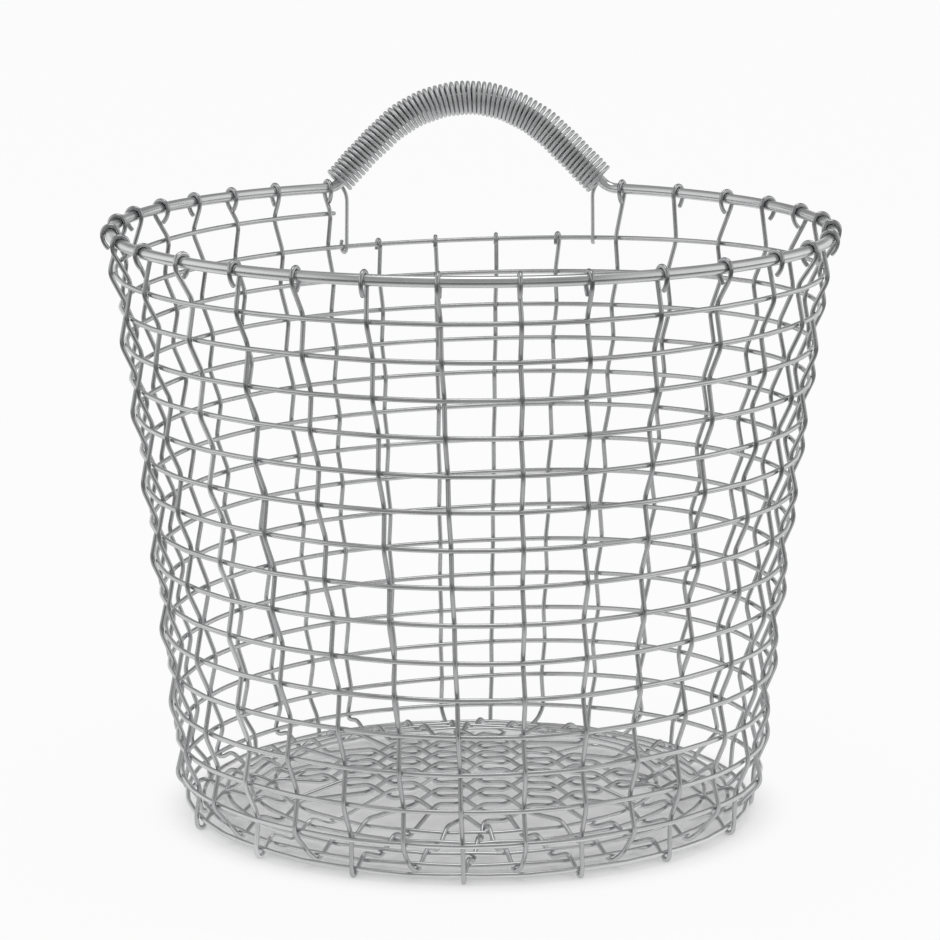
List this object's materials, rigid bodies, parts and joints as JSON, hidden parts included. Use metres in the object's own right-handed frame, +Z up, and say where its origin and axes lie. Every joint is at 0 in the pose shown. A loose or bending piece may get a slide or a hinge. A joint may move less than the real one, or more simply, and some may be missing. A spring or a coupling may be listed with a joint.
{
  "type": "wire basket",
  "caption": "Round woven steel wire basket with tapered wall, thick rim rod and one arched, wire-wound handle.",
  "frame": {"origin": "on the floor, under the middle of the base, on the basket's axis", "axes": "+Z up, the handle at the back at +Y, +X to the right as seen from the front"},
  "size_m": [0.3697, 0.3687, 0.3544],
  "materials": {
    "rim_rod": "satin",
    "winding_wire": "satin",
    "upright_wire": "satin",
    "weave_wire": "satin"
  },
  "bodies": {
    "root": {"rim_wire": "rim_rod", "handle_coil": "winding_wire", "weft_start": "weave_wire", "across_1": "upright_wire", "across_2": "upright_wire", "across_3": "upright_wire", "across_4": "upright_wire", "across_6": "upright_wire", "across_7": "upright_wire", "across_8": "upright_wire", "across_9": "upright_wire", "down_1": "upright_wire", "down_2": "upright_wire", "down_3": "upright_wire", "down_4": "upright_wire", "down_5": "upright_wire", "down_6": "upright_wire", "down_7": "upright_wire", "down_8": "upright_wire", "weft_turn_01": "weave_wire", "weft_turn_02": "weave_wire", "weft_turn_03": "weave_wire", "weft_turn_04": "weave_wire", "weft_turn_05": "weave_wire", "weft_turn_06": "weave_wire", "weft_turn_07": "weave_wire", "weft_turn_08": "weave_wire", "weft_turn_09": "weave_wire", "weft_turn_10": "weave_wire", "weft_turn_11": "weave_wire", "weft_turn_12": "weave_wire", "weft_turn_13": "weave_wire", "weft_turn_14": "weave_wire", "weft_turn_15": "weave_wire", "weft_turn_16": "weave_wire", "weft_turn_17": "weave_wire", "weft_turn_18": "weave_wire", "weft_turn_19": "weave_wire", "weft_turn_20": "weave_wire"}
  },
  "joints": []
}
